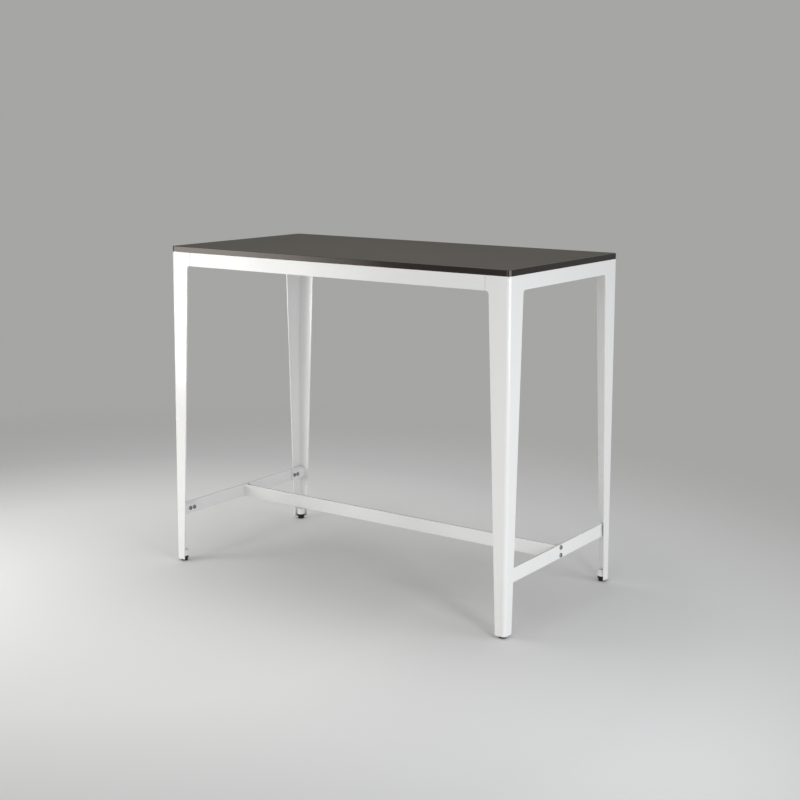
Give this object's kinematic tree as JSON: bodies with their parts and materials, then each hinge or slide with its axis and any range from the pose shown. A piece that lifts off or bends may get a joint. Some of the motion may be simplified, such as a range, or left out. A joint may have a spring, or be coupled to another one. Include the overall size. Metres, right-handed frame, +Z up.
{
  "type": "counter height table",
  "caption": "Tall rectangular table with a dark board, white folded steel legs that taper downwards, a flat bar stretcher and screw-adjusted levelling feet.",
  "frame": {"origin": "on the floor, under the middle of the table", "axes": "+X along the table's length, +Y across it towards the back, +Z up"},
  "size_m": [1.266, 0.652, 1.05],
  "materials": {
    "board_laminate": "matt laminate",
    "edge_band": "matt",
    "white_powder_coat": "satin powder coat",
    "zinc_plated_steel": "zinc plated",
    "black_plastic": "matt"
  },
  "bodies": {
    "frame": {"tabletop_board": "board_laminate", "edge_band": "edge_band", "end_frame_left": "white_powder_coat", "end_frame_right": "white_powder_coat", "end_top_strip_left": "white_powder_coat", "end_top_strip_right": "white_powder_coat", "long_apron_front": "white_powder_coat", "long_apron_back": "white_powder_coat", "cross_bar_left": "white_powder_coat", "cross_bar_right": "white_powder_coat", "long_bar": "white_powder_coat", "long_bar_tab_left": "white_powder_coat", "long_bar_tab_right": "white_powder_coat", "apron_studs": "zinc_plated_steel", "apron_nuts": "zinc_plated_steel", "tabletop_screws": "zinc_plated_steel", "cross_bar_bolts": "zinc_plated_steel", "long_bar_bolts": "zinc_plated_steel", "long_bar_nuts": "zinc_plated_steel", "joint_plate_front_left": "white_powder_coat", "leg_tab_front_left": "white_powder_coat", "foot_boss_front_left": "white_powder_coat", "joint_plate_front_right": "white_powder_coat", "leg_tab_front_right": "white_powder_coat", "foot_boss_front_right": "white_powder_coat", "joint_plate_back_left": "white_powder_coat", "leg_tab_back_left": "white_powder_coat", "foot_boss_back_left": "white_powder_coat", "joint_plate_back_right": "white_powder_coat", "leg_tab_back_right": "white_powder_coat", "foot_boss_back_right": "white_powder_coat"},
    "pad_front_left": {"foot_pad_front_left": "black_plastic"},
    "screw_front_left": {"foot_stud_front_left": "zinc_plated_steel", "foot_collar_front_left": "black_plastic"},
    "pad_front_right": {"foot_pad_front_right": "black_plastic"},
    "screw_front_right": {"foot_stud_front_right": "zinc_plated_steel", "foot_collar_front_right": "black_plastic"},
    "pad_back_left": {"foot_pad_back_left": "black_plastic"},
    "screw_back_left": {"foot_stud_back_left": "zinc_plated_steel", "foot_collar_back_left": "black_plastic"},
    "pad_back_right": {"foot_pad_back_right": "black_plastic"},
    "screw_back_right": {"foot_stud_back_right": "zinc_plated_steel", "foot_collar_back_right": "black_plastic"}
  },
  "joints": [
    {"name": "foot_height_front_left", "type": "slide", "parent": "frame", "child": "pad_front_left", "axis": [0, 0, -1], "range_m": [0, 0.01]},
    {"name": "foot_turn_front_left", "type": "hinge", "parent": "pad_front_left", "child": "screw_front_left", "pos_m": [-0.6159, -0.3089, 0.01], "axis": [0, 0, -1], "range_deg": [0, 2401]},
    {"name": "foot_height_front_right", "type": "slide", "parent": "frame", "child": "pad_front_right", "axis": [0, 0, -1], "range_m": [0, 0.01]},
    {"name": "foot_turn_front_right", "type": "hinge", "parent": "pad_front_right", "child": "screw_front_right", "pos_m": [0.6159, -0.3089, 0.01], "axis": [0, 0, -1], "range_deg": [0, 2401]},
    {"name": "foot_height_back_left", "type": "slide", "parent": "frame", "child": "pad_back_left", "axis": [0, 0, -1], "range_m": [0, 0.01]},
    {"name": "foot_turn_back_left", "type": "hinge", "parent": "pad_back_left", "child": "screw_back_left", "pos_m": [-0.6159, 0.3089, 0.01], "axis": [0, 0, -1], "range_deg": [0, 2401]},
    {"name": "foot_height_back_right", "type": "slide", "parent": "frame", "child": "pad_back_right", "axis": [0, 0, -1], "range_m": [0, 0.01]},
    {"name": "foot_turn_back_right", "type": "hinge", "parent": "pad_back_right", "child": "screw_back_right", "pos_m": [0.6159, 0.3089, 0.01], "axis": [0, 0, -1], "range_deg": [0, 2401]}
  ],
  "couplings": [
    {"joint": "foot_turn_front_left", "follows": "foot_height_front_left", "rad_per_m": 4188.8},
    {"joint": "foot_turn_front_right", "follows": "foot_height_front_right", "rad_per_m": 4188.8},
    {"joint": "foot_turn_back_left", "follows": "foot_height_back_left", "rad_per_m": 4188.8},
    {"joint": "foot_turn_back_right", "follows": "foot_height_back_right", "rad_per_m": 4188.8}
  ]
}
